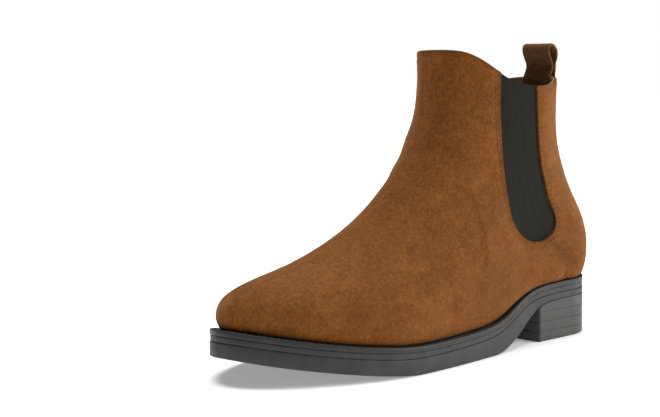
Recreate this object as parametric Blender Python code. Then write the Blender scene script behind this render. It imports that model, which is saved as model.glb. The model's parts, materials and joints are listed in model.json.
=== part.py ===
"""Chelsea boot: a left boot with suede upper, elastic gussets, pull loop, layered sole and heel.

Toe towards -Y, outer side towards +X, up +Z, origin at the middle of the box's bottom.
The shape functions work in millimetres, with s measured forwards from the back of the heel.
"""

import math

import bmesh
import bpy
import numpy as np

MM = 0.001

# Where the middle of the whole boot's box lies, in the shape functions' millimetres.
MIDDLE_S = 148.692
MIDDLE_X = -0.85

# Clearance between neighbouring pieces.
GAP = 0.3

# Side profile, as (s, z): the ridge from the toe up to the front topline, and the back seam.
RIDGE = [
    (295.5, 28), (297.5, 34), (296, 41), (288.5, 47.5), (272, 53.5), (250, 59), (230, 65.3),
    (210, 73.8), (190, 85.2), (171.8, 98.6), (156.5, 113.3), (145.8, 128), (139, 142.3),
    (136.2, 154.6), (135, 168), (135.3, 180.3),
]
BACK_SEAM = [
    (2, 36.4), (-1, 48), (-1.5, 60), (1.2, 76), (8.8, 93.8), (15.2, 111.9), (20.2, 129),
    (22.6, 146), (23.3, 165),
]

# Half-widths of the foot part along s, and the sideways place of its middle line.
OUTER_HALF = [
    (-5, 32.5), (35, 34), (60, 34.5), (85, 35.5), (110, 38.5), (140, 42.5), (170, 46),
    (200, 48), (225, 47.5), (250, 46), (300, 46),
]
INNER_HALF = [
    (-5, 32.5), (35, 33.5), (60, 33), (90, 29.5), (120, 28), (150, 32), (180, 40),
    (200, 44.5), (218, 47), (240, 47), (265, 46), (300, 46),
]
MIDDLE_LINE = [(-5, 0), (100, 0), (180, -1), (240, -2.5), (300, -6)]

# Half-width of the shaft from bottom to top, and how far the topline dips between its ends.
SHAFT_HALF = [(0, 33), (0.45, 34), (0.7, 32.5), (0.85, 32), (1.0, 33)]
TOPLINE_DIP = [
    (0, 0), (0.06, 0), (0.16, -4), (0.30, -11), (0.42, -13.5), (0.55, -13), (0.75, -9),
    (0.9, -3), (1, 0),
]

# Feather line, where upper meets sole, and the underside of the outsole.
FEATHER = [
    (-5, 36.9), (35, 36.2), (62, 35.3), (76, 33.9), (88, 31.1), (100, 26.9), (114, 21.8),
    (130, 18.5), (150, 17.0), (180, 16.2), (205, 16.2), (235, 18.7), (265, 23.1),
    (285, 26.8), (300, 29.9),
]
UNDERSIDE = [
    (-5, 26.0), (35, 25.2), (62, 24.0), (76, 20.6), (88, 13.8), (100, 7.2), (112, 2.6),
    (124, 0.2), (136, -0.4), (166, -0.4), (196, -0.4), (212, 0.5), (235, 3.0), (265, 7.6),
    (285, 11.3), (300, 14.6),
]

# Lengths and powers of the round toe and heel, and the powers of the foot's and shaft's sections.
TOE_ROUND, TOE_POWER = 86, 1.85
HEEL_ROUND, HEEL_POWER = 36, 2.1
SECTION_ACROSS, SECTION_UP = 2.1, 2.0
FRONT_POWER, REAR_POWER = 2.2, 2.0

# How the upper swells out just above the sole, and how fast its rows leave the feather line and
# take up the topline's dip.
SWELL, SWELL_HEIGHT = 3.0, 6.0
FEATHER_FADE, DIP_FADE = 2.2, 3

# Heights between which the foot's section turns into the shaft's, and its middle line straightens.
ANKLE = (58, 130)
STRAIGHTENING = (60, 120)

# Elastic gusset: its edges as distances in mm round the boot from the back seam, by height v.
GUSSET_BACK = [(0.23, 71.5), (0.33, 70.0), (0.43, 67.2), (0.62, 62.6), (0.85, 62.3), (1, 65.5)]
GUSSET_FRONT = [
    (0.23, 110.5), (0.33, 112), (0.43, 112.5), (0.54, 107.6), (0.67, 101.4), (0.85, 98), (1, 99.7),
]
GUSSET_FOOT, GUSSET_ROUND = 0.236, 0.375
GUSSET_FOOT_PER_MM = 0.0035
SIDE_SEAM = [(0, 60), (0.08, 65), (0.15, 74), (0.205, 84.5), (0.236, 91)]
SEAM_ALLOWANCE = 6.0

# Rows of a panel below, round and above the foot of the gusset.
LOW_ROWS, FOOT_ROWS, HIGH_ROWS = 9, 5, 7
LOW_CROWDING = 1.3

# Columns of the vamp from its edge to the ridge, and how many of them the toe stiffener takes.
VAMP_COLUMNS, TOE_COLUMNS, TOE_ROWS = 19, 7, 7
EVEN_SHARE, RIDGE_CROWDING = 0.35, 1.7

# Heel stiffener: half-widths by height v, its rows, and where both stiffeners start.
COUNTER_HALF = [(0, 68), (0.14, 64), (0.24, 56), (0.38, 36)]
COUNTER_ROWS = 12
STIFFENER_START = 0.012

# Depths below the suede's face of each layer of the upper, face first.
SUEDE = (0.0, 1.6)
STIFFENER = (2.1, 2.85)
LINING = (3.4, 4.3)
STAY = (-1.8, -0.3)
STAY_HALF, STAY_START = 10.0, 0.02

# How far the sole stands out beyond the upper: at the heel, more from the waist on, and at the toe.
HEEL_MARGIN, WAIST_MARGIN, TOE_MARGIN = 1.4, 3.1, 0.8
WAIST, TOE_TIP = (70, 140), (250, 295)

# Layers of the bottom, as heights above the feather line.
WELT = (-3.3, -0.7)
WELT_INNER = -4.2
INSOLE, INSOLE_INNER = (-1.7, 0.7), -4.7
FILLER, FILLER_INNER = (-3.3, -2.0), -5.0
MIDSOLE = (-6.6, -3.6)
OUTSOLE_TOP = -6.9
SOCK, SOCK_INNER = 1.2, -7.6
PAD, PAD_TO = 2.6, 78.0
SOCK_RAMP = (80, 104)
SHANK_HALF, SHANK_FROM, SHANK_TO = 6.0, 48.0, 160.0
FILLER_FROM, FILLER_TO = 165.0, 284.0
SECTION_STEP = 8.0
ROUND_END = np.array([0.25, 1.2, 3.0, 6.0, 10.5, 16.5, 24.0])

# Heel block.
BREAST = 74.0
TOP_PIECE = 6.0
LIFT = 6.0
NAIL_RADIUS, NAIL_HEAD_RADIUS, NAIL_HEAD = 1.1, 2.4, 0.8
NAIL_POINT_RADIUS, NAIL_POINT, NAIL_SHORT_OF_TREAD = 0.4, 3.0, 1.0
NAIL_HOLE_TOP = 45.0
NAIL_PLACES = [(17, 0), (32, 17), (32, -17), (58, 17), (58, -17)]

# Pull loop: the strap, its arch above the hinge at its neck, and its two sewn tabs. A tab's top
# leans towards the neck, to this share of its distance, and rises this far.
STRAP_HALF, STRAP = 10.5, 1.7
LOOP_RISE, LOOP_FOOT, LOOP_LEAN = 12.8, 2.4, 2.6
LOOP_BULGE, LOOP_NECK = 3.6, 1.25
LOOP_SECTIONS = 19
PIVOT_RISE = 5.0
TAB_LENGTH, BACK_SEAM_RUN = 22.0, 130.0
TAB_BEND = 0.55
OUTSIDE_LEAN, OUTSIDE_RISE, OUTSIDE_BEND_LEAN = 0.55, 2.7, 1.0
INSIDE_LEAN, INSIDE_RISE, INSIDE_BEND_LEAN = 0.35, 1.0, 0.8


def natural_cubic(points):
    """A smooth function through (x, y) points, level beyond its ends."""
    xs, ys = np.array(points, float).T
    count = len(xs)
    step = np.diff(xs)
    slope = np.diff(ys) / step
    system = np.eye(count)
    right = np.zeros(count)
    for i in range(1, count - 1):
        system[i, i - 1:i + 2] = step[i - 1], 2 * (step[i - 1] + step[i]), step[i]
        right[i] = 6 * (slope[i] - slope[i - 1])
    bend = np.linalg.solve(system, right)

    def value(x):
        x = np.clip(x, xs[0], xs[-1])
        i = np.clip(np.searchsorted(xs, x) - 1, 0, count - 2)
        a, h = x - xs[i], step[i]
        first = slope[i] - h * (2 * bend[i] + bend[i + 1]) / 6
        return ys[i] + a * (first + a * (bend[i] / 2 + a * (bend[i + 1] - bend[i]) / (6 * h)))

    return value


def path(points):
    """A smooth curve through points in the side view, by its share v of the length, 0 to 1."""
    points = np.array(points, float)
    run = np.concatenate([[0], np.cumsum(np.linalg.norm(np.diff(points, axis=0), axis=1))])
    run /= run[-1]
    along = natural_cubic(np.column_stack([run, points[:, 0]]))
    up = natural_cubic(np.column_stack([run, points[:, 1]]))
    return lambda v: np.stack([along(v), up(v)], -1)


ridge, back_seam = path(RIDGE), path(BACK_SEAM)
outer_half, inner_half = natural_cubic(OUTER_HALF), natural_cubic(INNER_HALF)
middle_line, shaft_half = natural_cubic(MIDDLE_LINE), natural_cubic(SHAFT_HALF)
topline_dip, feather, underside_line = map(natural_cubic, (TOPLINE_DIP, FEATHER, UNDERSIDE))
gusset_back, gusset_front, side_seam = map(natural_cubic, (GUSSET_BACK, GUSSET_FRONT, SIDE_SEAM))

RIDGE_DENSE = ridge(np.linspace(0, 1, 1200))
RIDGE_TOP = RIDGE_DENSE[RIDGE_DENSE[:, 0].argmax():][::-1]


def ease(start, end, x):
    """0 before start, 1 after end, and smooth between them."""
    q = np.clip((x - start) / (end - start), 0, 1)
    return q * q * (3 - 2 * q)


def rounding(share, power):
    """How a round end widens from its tip, share 0, to its full width, share 1."""
    return (1 - (1 - np.clip(share, 0, 1)) ** power) ** (1 / power)


def skin(v, u):
    """Point on the suede's face: v runs up from the feather line, u once round from the ridge."""
    v, u = np.broadcast_arrays(np.asarray(v, float), np.asarray(u, float))
    side = np.where(np.mod(u, 1) <= 0.5, 1.0, -1.0)
    t = (1 - np.cos(2 * np.pi * u)) / 2
    front, back, toe, heel = ridge(v), back_seam(v), ridge(0.0), back_seam(0.0)
    s = front[..., 0] + (back[..., 0] - front[..., 0]) * t
    z = front[..., 1] + (back[..., 1] - front[..., 1]) * t
    base_s = toe[0] + (heel[0] - toe[0]) * t
    base_z = toe[1] + (heel[1] - toe[1]) * t
    z = z + (feather(base_s) - base_z) * (1 - v) ** FEATHER_FADE + topline_dip(t) * v ** DIP_FADE

    low = feather(s)
    height = np.maximum(np.interp(s, RIDGE_TOP[:, 0], RIDGE_TOP[:, 1]) - low, 1)
    up = np.clip((z - low) / height, 0, 1)
    crown = np.maximum(1 - up ** SECTION_UP, 1e-9) ** (1 / SECTION_ACROSS)
    toe_s = np.interp(z, RIDGE_DENSE[:, 1], RIDGE_DENSE[:, 0])
    nose = np.maximum(rounding((toe_s - s) / TOE_ROUND, TOE_POWER), 1e-6)
    narrowing = (nose ** -2 + crown ** -2 - 1) ** -0.5
    half = np.where(side > 0, outer_half(s), inner_half(s))
    half = half + SWELL * (1 - np.exp(-np.maximum(z - low, 0) / SWELL_HEIGHT))
    foot = half * narrowing * rounding((s - back[..., 0]) / HEEL_ROUND, HEEL_POWER)
    power = np.where(t > 0.5, REAR_POWER, FRONT_POWER)
    leg = shaft_half(v) * (1 - np.abs(2 * t - 1) ** power) ** (1 / power)
    blend = ease(*ANKLE, z)
    x = np.where((t <= 0) | (t >= 1), 0, (1 - blend) * foot + blend * leg)
    x = middle_line(s) * (1 - ease(*STRAIGHTENING, z)) + side * x
    return np.stack([x, s, z], -1)


def below(v, u, depth):
    """Point at this depth under the suede's face."""
    h = 0.004
    v, u = np.broadcast_arrays(np.asarray(v, float), np.asarray(u, float))
    rise = skin(np.minimum(v + h, 1), u) - skin(np.maximum(v - h, 0), u)
    round_boot = skin(v, u + h) - skin(v, u - h)
    inward = np.cross(round_boot, rise)
    inward /= np.linalg.norm(inward, axis=-1, keepdims=True)
    return skin(v, u) + depth * inward


def row_at(v, side, distances):
    """Values of u along the row v at these distances from the back seam, on one side."""
    us = 0.5 - side * np.linspace(0, 0.5, 260)
    points = skin(v, us)
    run = np.concatenate([[0], np.cumsum(np.linalg.norm(np.diff(points, axis=0), axis=1))])
    distances = np.where(np.isinf(distances), run[-1], distances)
    return np.interp(distances, run, us), run[-1]


def elastic_edges(v, extra=0.0):
    """Distances from the back seam of the gusset's back and front edges, widened by extra."""
    back, front = float(gusset_back(v)), float(gusset_front(v))
    middle, half = (back + front) / 2, (front - back) / 2 + extra
    foot = GUSSET_FOOT - GUSSET_FOOT_PER_MM * extra
    if v < foot:
        return float(side_seam(v)), float(side_seam(v))
    if v < GUSSET_ROUND:
        half *= math.sqrt(max(0.0, 1 - ((GUSSET_ROUND - v) / (GUSSET_ROUND - foot)) ** 2))
    return middle - half, middle + half


def heights(foot=GUSSET_FOOT, start=0.0):
    """Rows of a panel, close together round the foot of the gusset."""
    lower = start + (foot - start) * np.linspace(0, 1, LOW_ROWS)[:-1] ** LOW_CROWDING
    bend = foot + (GUSSET_ROUND - foot) * (1 - np.cos(np.linspace(0, math.pi / 2, FOOT_ROWS)))
    upper = np.linspace(GUSSET_ROUND, 1, HIGH_ROWS)[1:]
    return np.concatenate([lower if start < foot else [], bend, upper])


def principled(name, colour, roughness, metallic=0.0):
    material = bpy.data.materials.new(name)
    material.use_nodes = True
    shader = material.node_tree.nodes["Principled BSDF"]
    shader.inputs["Base Color"].default_value = (*colour, 1)
    shader.inputs["Roughness"].default_value = roughness
    shader.inputs["Metallic"].default_value = metallic
    material.diffuse_color = (*colour, 1)
    return material


def to_frame(points):
    """Shape millimetres (x, s, z) to the boot's frame in metres."""
    points = np.asarray(points, float)
    return np.stack(
        [points[..., 0] - MIDDLE_X, MIDDLE_S - points[..., 1], points[..., 2]], -1
    ) * MM


def add_solid(name, points, faces, material, origin=(0, 0, 0)):
    """One closed body with its faces turned outwards; points are in metres in the frame."""
    mesh = bpy.data.meshes.new(name)
    mesh.from_pydata([tuple(p) for p in np.asarray(points) - origin], [], faces)
    shape = bmesh.new()
    shape.from_mesh(mesh)
    bmesh.ops.recalc_face_normals(shape, faces=shape.faces)
    shape.to_mesh(mesh)
    shape.free()
    mesh.shade_smooth()
    mesh.set_sharp_from_angle(angle=math.radians(40))
    mesh.materials.append(material)
    solid = bpy.data.objects.new(name, mesh)
    solid.location = origin
    bpy.context.scene.collection.objects.link(solid)
    return solid


def shell(name, face, back, material):
    """A closed sheet between two grids of points of the same size."""
    rows, columns = face.shape[:2]
    points = np.concatenate([face.reshape(-1, 3), back.reshape(-1, 3)])
    size = rows * columns
    faces = []
    for r in range(rows - 1):
        for c in range(columns - 1):
            corner = r * columns + c
            quad = (corner, corner + 1, corner + columns + 1, corner + columns)
            faces.append(quad)
            faces.append(tuple(size + i for i in reversed(quad)))
    rim = [c for c in range(columns)]
    rim += [r * columns + columns - 1 for r in range(1, rows)]
    rim += [(rows - 1) * columns + c for c in range(columns - 2, -1, -1)]
    rim += [r * columns for r in range(rows - 2, 0, -1)]
    for a, b in zip(rim, rim[1:] + rim[:1]):
        faces.append((b, a, size + a, size + b))
    return add_solid(name, to_frame(points), faces, material)


def panel(name, layer, rows, material):
    """A piece of the upper: rows are (v, list of u), layer its two depths."""
    vs = np.array([[v] * len(us) for v, us in rows])
    us = np.array([us for _, us in rows])
    return shell(name, below(vs, us, layer[0]), below(vs, us, layer[1]), material)


def front_rows(vs, half_columns, gap=GAP):
    """Rows of a front panel, from the outer side over the ridge to the inner side."""
    rows = []
    for v in vs:
        edge = elastic_edges(v)[1] + gap
        us = []
        for side in (1, -1):
            length = row_at(v, side, np.array([0.0]))[1]
            share = np.linspace(1, 0, half_columns)
            share = EVEN_SHARE * share + (1 - EVEN_SHARE) * share ** RIDGE_CROWDING
            u, _ = row_at(v, side, length - (length - edge) * share)
            us.append(u if side > 0 else u[::-1] - 1)
        rows.append((v, np.concatenate([us[0][:-1], [0.0], us[1][1:]])))
    return rows


def back_rows(vs, side, columns, gap=GAP):
    """Rows of a rear panel on one side, from the back seam to the gusset or side seam."""
    rows = []
    for v in vs:
        edge = elastic_edges(v)[0] - gap
        rows.append((v, row_at(v, side, np.linspace(gap / 2, edge, columns))[0]))
    return rows


def rear_rows(vs, half_widths, half_columns):
    """Rows across the back of the boot, this far to each side."""
    rows = []
    for v, half in zip(vs, half_widths):
        reach = np.linspace(0, half, half_columns)
        outer, inner = (row_at(v, side, reach)[0] for side in (1, -1))
        rows.append((v, np.concatenate([outer[::-1], inner[1:]])))
    return rows


def gusset_rows(side):
    """Rows of an elastic panel, with its seam allowance under the suede."""
    foot = GUSSET_FOOT - GUSSET_FOOT_PER_MM * SEAM_ALLOWANCE
    rows = []
    for v in heights(foot, foot)[1:]:
        back, front = elastic_edges(v, SEAM_ALLOWANCE)
        rows.append((v, row_at(v, side, np.linspace(back, front, 7))[0]))
    return rows


def toe_rows():
    """Rows of the toe stiffener: the middle of the vamp's lowest rows."""
    cut = VAMP_COLUMNS - 1 - TOE_COLUMNS
    rows = front_rows(heights()[:TOE_ROWS], VAMP_COLUMNS)
    return [(max(v, STIFFENER_START), us[cut:-cut]) for v, us in rows]


def build_upper(suede, elastic, leather, board):
    vs = heights()
    panel("vamp", SUEDE, front_rows(vs, VAMP_COLUMNS), suede)
    panel("quarter_outer", SUEDE, back_rows(vs, 1, 10), suede)
    panel("quarter_inner", SUEDE, back_rows(vs, -1, 10), suede)
    panel("gusset_outer", STIFFENER, gusset_rows(1), elastic)
    panel("gusset_inner", STIFFENER, gusset_rows(-1), elastic)
    panel("vamp_lining", LINING, front_rows(vs, 15), leather)
    lining_half = [elastic_edges(v)[0] - GAP for v in vs]
    panel("quarter_lining", LINING, rear_rows(vs, lining_half, 8), leather)
    panel("toe_puff", STIFFENER, toe_rows(), board)
    vs = heights(start=STAY_START)
    panel("back_stay", STAY, rear_rows(vs, [STAY_HALF] * len(vs), 4), suede)
    vs = heights(start=STIFFENER_START)[:COUNTER_ROWS]
    panel("heel_counter", STIFFENER, rear_rows(vs, natural_cubic(COUNTER_HALF)(vs), 10), board)


def plan(extra, count=240):
    """Plan outline (x, s) of the feather line, pushed outwards by extra(s)."""
    u = np.arange(count) / count
    line = skin(0.0, u)[:, :2]
    along = np.roll(line, -1, axis=0) - np.roll(line, 1, axis=0)
    along /= np.linalg.norm(along, axis=1, keepdims=True)
    outward = np.column_stack([-along[:, 1], along[:, 0]])
    return line + outward * extra(line[:, 1])[:, None]


def margin(s):
    """How far the sole stands out beyond the upper."""
    return HEEL_MARGIN + WAIST_MARGIN * ease(*WAIST, s) + TOE_MARGIN * ease(*TOE_TIP, s)


def level(amount):
    """The same amount everywhere along the boot."""
    return lambda s: amount + 0 * s


def half_lines(extra, count=240):
    """Outer and inner edges of a plan outline as functions of s, and its two ends."""
    outline = plan(extra, count)
    toe, heel = outline[:, 1].argmax(), outline[:, 1].argmin()
    walk = np.roll(outline, -toe, axis=0)
    turn = (heel - toe) % count
    outer, inner = walk[:turn + 1][::-1], np.concatenate([walk[turn:], walk[:1]])
    edges = [lambda s, e=edge: np.interp(s, e[:, 1], e[:, 0]) for edge in (outer, inner)]
    return edges[0], edges[1], outline[heel, 1], outline[toe, 1]


def stations(low, high, round_low=True, round_high=True):
    """Places along s for a slab's sections, closer together at a round end."""
    start = low + ROUND_END if round_low else np.array([low])
    end = high - ROUND_END[::-1] if round_high else np.array([high])
    first, last = start[-1] + 3, end[0] - 3
    between = np.arange(math.ceil(first / SECTION_STEP) * SECTION_STEP, last, SECTION_STEP)
    return np.concatenate([start, between, end])


def slab(name, extra, bottom, top, material, low=None, high=None):
    """A layer of the bottom between two height functions of s."""
    outer, inner, heel, toe = half_lines(extra)
    start, end = (heel if low is None else low), (toe if high is None else high)
    places = stations(start, end, low is None, high is None)
    edges = [(inner(s), outer(s)) for s in places]
    return loft(name, places, edges, bottom, top, material)


def loft(name, places, edges, bottom, top, material):
    """A closed body from rectangular sections at these places along s."""
    points, faces = [], []
    for s, (left, right) in zip(places, edges):
        low, high = float(bottom(s)), float(top(s))
        points += [(left, s, low), (right, s, low), (right, s, high), (left, s, high)]
    last = 4 * (len(places) - 1)
    for base in range(0, last, 4):
        for i in range(4):
            j = (i + 1) % 4
            faces.append((base + i, base + j, base + 4 + j, base + 4 + i))
    faces.append((3, 2, 1, 0))
    faces.append((last, last + 1, last + 2, last + 3))
    return add_solid(name, to_frame(points), faces, material)


def underside(s):
    """Height of the outsole's underside, never below the ground."""
    return np.maximum(underside_line(s), 0)


def over_feather(rise):
    return lambda s: feather(s) + rise


def sock_bed(s):
    """Underside of the sock liner: over the heel pad at the back, on the board in front."""
    return feather(s) + INSOLE[1] + GAP + (PAD + GAP) * (1 - ease(*SOCK_RAMP, s))


def build_welt(rubber):
    outer, inner = plan(margin, 96), plan(level(WELT_INNER), 96)
    points, faces = [], []
    for low, high in zip(inner, outer):
        for (x, s), rise in ((low, WELT[0]), (high, WELT[0]), (high, WELT[1]), (low, WELT[1])):
            points.append((x, s, float(feather(s)) + rise))
    total = len(points)
    for base in range(0, total, 4):
        for i in range(4):
            j, following = (i + 1) % 4, (base + 4) % total
            faces.append((base + i, base + j, following + j, following + i))
    add_solid("welt", to_frame(points), faces, rubber)


def turned(name, place, profile, sides, material=None):
    """A round solid about a vertical axis; profile is (radius, z) from bottom to top."""
    x, s = place
    points, faces = [(x, s, profile[0][1])], []
    for radius, z in profile:
        for i in range(sides):
            angle = 2 * math.pi * i / sides
            points.append((x + radius * math.cos(angle), s + radius * math.sin(angle), z))
    points.append((x, s, profile[-1][1]))
    top = len(points) - 1
    for i in range(sides):
        j = (i + 1) % sides
        faces.append((0, 1 + j, 1 + i))
        for ring in range(len(profile) - 1):
            base = 1 + ring * sides
            faces.append((base + i, base + j, base + sides + j, base + sides + i))
        faces.append((top, top - sides + i, top - sides + j))
    return add_solid(name, to_frame(points), faces, material)


def bore_nail_holes(pieces, low, high):
    """Clearance holes for the nails through these pieces."""
    for number, (s, x) in enumerate(NAIL_PLACES, 1):
        radius = NAIL_RADIUS + GAP
        cutter = turned(f"nail_hole_{number}", (x, s), [(radius, low), (radius, high)], 12)
        cutter.hide_render = True
        cutter.display_type = "WIRE"
        for piece in pieces:
            cut = piece.modifiers.new(f"nail_{number}", "BOOLEAN")
            cut.operation = "DIFFERENCE"
            cut.object = cutter


def build_bottom(rubber, board, cork, steel, leather, foam):
    build_welt(rubber)
    insole_low, insole_high = map(over_feather, INSOLE)
    filler_low, filler_high = map(over_feather, FILLER)
    slab("insole_board", level(INSOLE_INNER), insole_low, insole_high, board)
    slab(
        "cork_filler", level(FILLER_INNER), filler_low, filler_high, cork, FILLER_FROM, FILLER_TO
    )
    places = np.arange(SHANK_FROM, SHANK_TO + 1, SECTION_STEP)
    edges = [(-SHANK_HALF, SHANK_HALF)] * len(places)
    loft("shank", places, edges, filler_low, filler_high, steel)
    pad_low = INSOLE[1] + GAP
    pad_levels = over_feather(pad_low), over_feather(pad_low + PAD)
    slab("heel_pad", level(SOCK_INNER), *pad_levels, foam, None, PAD_TO)
    slab("sock_liner", level(SOCK_INNER), sock_bed, lambda s: sock_bed(s) + SOCK, leather)
    midsole = slab("midsole", margin, over_feather(MIDSOLE[0]), over_feather(MIDSOLE[1]), rubber)
    outsole = slab("outsole", margin, underside, over_feather(OUTSOLE_TOP), rubber)
    lifts = build_heel(rubber)
    nail_foot = TOP_PIECE + GAP + NAIL_SHORT_OF_TREAD
    bore_nail_holes([midsole, outsole, *lifts], TOP_PIECE + GAP / 2, NAIL_HOLE_TOP)
    for number, (s, x) in enumerate(NAIL_PLACES, 1):
        head = float(feather(s - NAIL_HEAD_RADIUS)) + FILLER[0]
        profile = [
            (NAIL_POINT_RADIUS, nail_foot), (NAIL_RADIUS, nail_foot + NAIL_POINT), (NAIL_RADIUS, head),
            (NAIL_HEAD_RADIUS, head), (NAIL_HEAD_RADIUS, head + NAIL_HEAD),
        ]
        turned(f"heel_nail_{number}", (x, s), profile, 12, steel)


def build_heel(rubber):
    """The stacked heel under the outsole, from the ground up; returns the lifts."""
    lifts = []
    high = TOP_PIECE
    slab("heel_top_piece", margin, level(0), level(high), rubber, None, BREAST)
    for number in (3, 2, 1):
        low = high + GAP
        high = low + LIFT
        ceiling = (lambda s: underside(s) - GAP) if number == 1 else level(high)
        lifts.append(
            slab(f"heel_lift_{number}", margin, level(low), ceiling, rubber, None, BREAST)
        )
    return lifts


def strap(name, centres, material, origin=(0, 0, 0)):
    """A flat strap across the boot that follows a line of (s, z) centres."""
    centres = np.array(centres, float)
    along = np.gradient(centres, axis=0)
    along /= np.linalg.norm(along, axis=1, keepdims=True)
    aside = np.column_stack([-along[:, 1], along[:, 0]]) * STRAP / 2
    points, faces = [], []
    for centre, shift in zip(centres, aside):
        for x, sign in ((-1, -1), (1, -1), (1, 1), (-1, 1)):
            s, z = centre + sign * shift
            points.append((x * STRAP_HALF, s, z))
    last = len(points) - 4
    for base in range(0, last, 4):
        for i in range(4):
            j = (i + 1) % 4
            faces.append((base + i, base + j, base + 4 + j, base + 4 + i))
    faces.append((3, 2, 1, 0))
    faces.append((last, last + 1, last + 2, last + 3))
    return add_solid(name, to_frame(points), faces, material, origin)


def build_pull_loop(suede):
    """The loop over the back topline: two sewn ends that stay, and the loop that folds."""
    seam_s, seam_z = back_seam(1.0)
    neck_s = seam_s + (STAY[0] + LINING[1]) / 2
    vs = 1 - np.linspace(TAB_LENGTH, 0, 5) / BACK_SEAM_RUN
    rows = rear_rows(vs, [STRAP_HALF] * len(vs), 4)
    columns = np.array([us for _, us in rows])
    outside = OUTSIDE_LEAN, OUTSIDE_RISE, OUTSIDE_BEND_LEAN
    inside = INSIDE_LEAN, INSIDE_RISE, INSIDE_BEND_LEAN
    for name, depth, bends in (
        ("pull_loop_tab_outer", STAY[0] - GAP - STRAP, (outside, inside)),
        ("pull_loop_tab_inner", LINING[1] + 2 * GAP, (inside, outside)),
    ):
        sides = []
        for deep, (lean, rise, bend_lean) in zip((depth, depth + STRAP), bends):
            grid = below(vs[:, None], columns, deep)
            for share, height in ((bend_lean, TAB_BEND * rise), (lean, rise)):
                row = below(vs[-1], columns[-1], deep)
                row[:, 1] = neck_s + (row[:, 1] - neck_s) * share
                row[:, 2] += height
                grid = np.concatenate([grid, row[None]])
            sides.append(grid)
        shell(name, sides[0], sides[1], suede)
    pivot = to_frame([(0, neck_s, seam_z + PIVOT_RISE)])[0]
    centres = []
    for angle in np.linspace(0, math.pi, LOOP_SECTIONS):
        width = LOOP_NECK * math.cos(angle) + LOOP_BULGE * math.sin(2 * angle)
        height = LOOP_FOOT + LOOP_RISE * math.sin(angle)
        lean = LOOP_LEAN * math.sin(angle) ** 2
        centres.append((neck_s - width + lean, seam_z + PIVOT_RISE + height))
    strap("pull_loop", centres, suede, pivot)


def main():
    for item in list(bpy.data.objects):
        bpy.data.objects.remove(item, do_unlink=True)
    suede = principled("tan_suede", (0.205, 0.082, 0.026), 0.92)
    elastic = principled("black_elastic", (0.022, 0.021, 0.019), 0.85)
    leather = principled("lining_leather", (0.38, 0.22, 0.11), 0.6)
    dark_suede = principled("dark_brown_suede", (0.055, 0.024, 0.012), 0.9)
    rubber = principled("black_rubber", (0.03, 0.029, 0.027), 0.55)
    board = principled("fibre_board", (0.42, 0.31, 0.2), 0.8)
    cork = principled("cork", (0.3, 0.17, 0.08), 0.9)
    steel = principled("spring_steel", (0.5, 0.5, 0.52), 0.35, 1.0)
    foam = principled("white_foam", (0.7, 0.68, 0.62), 0.95)
    build_upper(suede, elastic, leather, board)
    build_bottom(rubber, board, cork, steel, leather, foam)
    build_pull_loop(dark_suede)


main()
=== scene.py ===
"""Looks of the chelsea boot: suede upper, elastic gussets, stitching, linings and layered sole.

The shape functions work in millimetres: x across, s forwards from the back of the heel, z up.
"""

import json
import math
from functools import reduce

import bmesh
import bpy
import numpy as np
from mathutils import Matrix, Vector, kdtree, noise


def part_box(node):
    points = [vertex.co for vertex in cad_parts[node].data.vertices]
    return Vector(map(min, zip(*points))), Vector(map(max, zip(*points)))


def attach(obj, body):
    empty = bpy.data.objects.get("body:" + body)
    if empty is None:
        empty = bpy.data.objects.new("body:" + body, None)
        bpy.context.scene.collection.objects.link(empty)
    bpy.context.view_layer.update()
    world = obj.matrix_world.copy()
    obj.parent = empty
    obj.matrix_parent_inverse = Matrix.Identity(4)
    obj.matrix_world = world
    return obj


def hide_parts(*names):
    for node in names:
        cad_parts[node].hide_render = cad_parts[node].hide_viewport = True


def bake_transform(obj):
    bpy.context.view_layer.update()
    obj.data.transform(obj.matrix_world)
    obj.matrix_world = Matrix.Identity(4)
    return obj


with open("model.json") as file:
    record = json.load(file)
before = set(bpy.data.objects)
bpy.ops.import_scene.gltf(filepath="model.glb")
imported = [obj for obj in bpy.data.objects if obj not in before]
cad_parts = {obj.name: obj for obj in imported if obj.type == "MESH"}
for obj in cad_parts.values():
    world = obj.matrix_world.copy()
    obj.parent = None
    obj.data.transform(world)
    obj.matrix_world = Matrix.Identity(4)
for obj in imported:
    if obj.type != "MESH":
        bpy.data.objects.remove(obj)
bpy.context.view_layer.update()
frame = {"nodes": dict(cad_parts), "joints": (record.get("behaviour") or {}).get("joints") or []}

MM = 0.001
TAU = 2 * math.pi

# ---- shape of the boot

# Side profile, as (s, z): the ridge from the toe up to the front topline, and the back seam.
RIDGE = [
    (295.5, 28), (297.5, 34), (296, 41), (288.5, 47.5), (272, 53.5), (250, 59), (230, 65.3),
    (210, 73.8), (190, 85.2), (171.8, 98.6), (156.5, 113.3), (145.8, 128), (139, 142.3),
    (136.2, 154.6), (135, 168), (135.3, 180.3),
]
BACK_SEAM = [
    (2, 36.4), (-1, 48), (-1.5, 60), (1.2, 76), (8.8, 93.8), (15.2, 111.9), (20.2, 129),
    (22.6, 146), (23.3, 165),
]

# Half-widths of the foot part along s, and the sideways place of its middle line.
OUTER_HALF = [
    (-5, 32.5), (35, 34), (60, 34.5), (85, 35.5), (110, 38.5), (140, 42.5), (170, 46),
    (200, 48), (225, 47.5), (250, 46), (300, 46),
]
INNER_HALF = [
    (-5, 32.5), (35, 33.5), (60, 33), (90, 29.5), (120, 28), (150, 32), (180, 40),
    (200, 44.5), (218, 47), (240, 47), (265, 46), (300, 46),
]
MIDDLE_LINE = [(-5, 0), (100, 0), (180, -1), (240, -2.5), (300, -6)]

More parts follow.
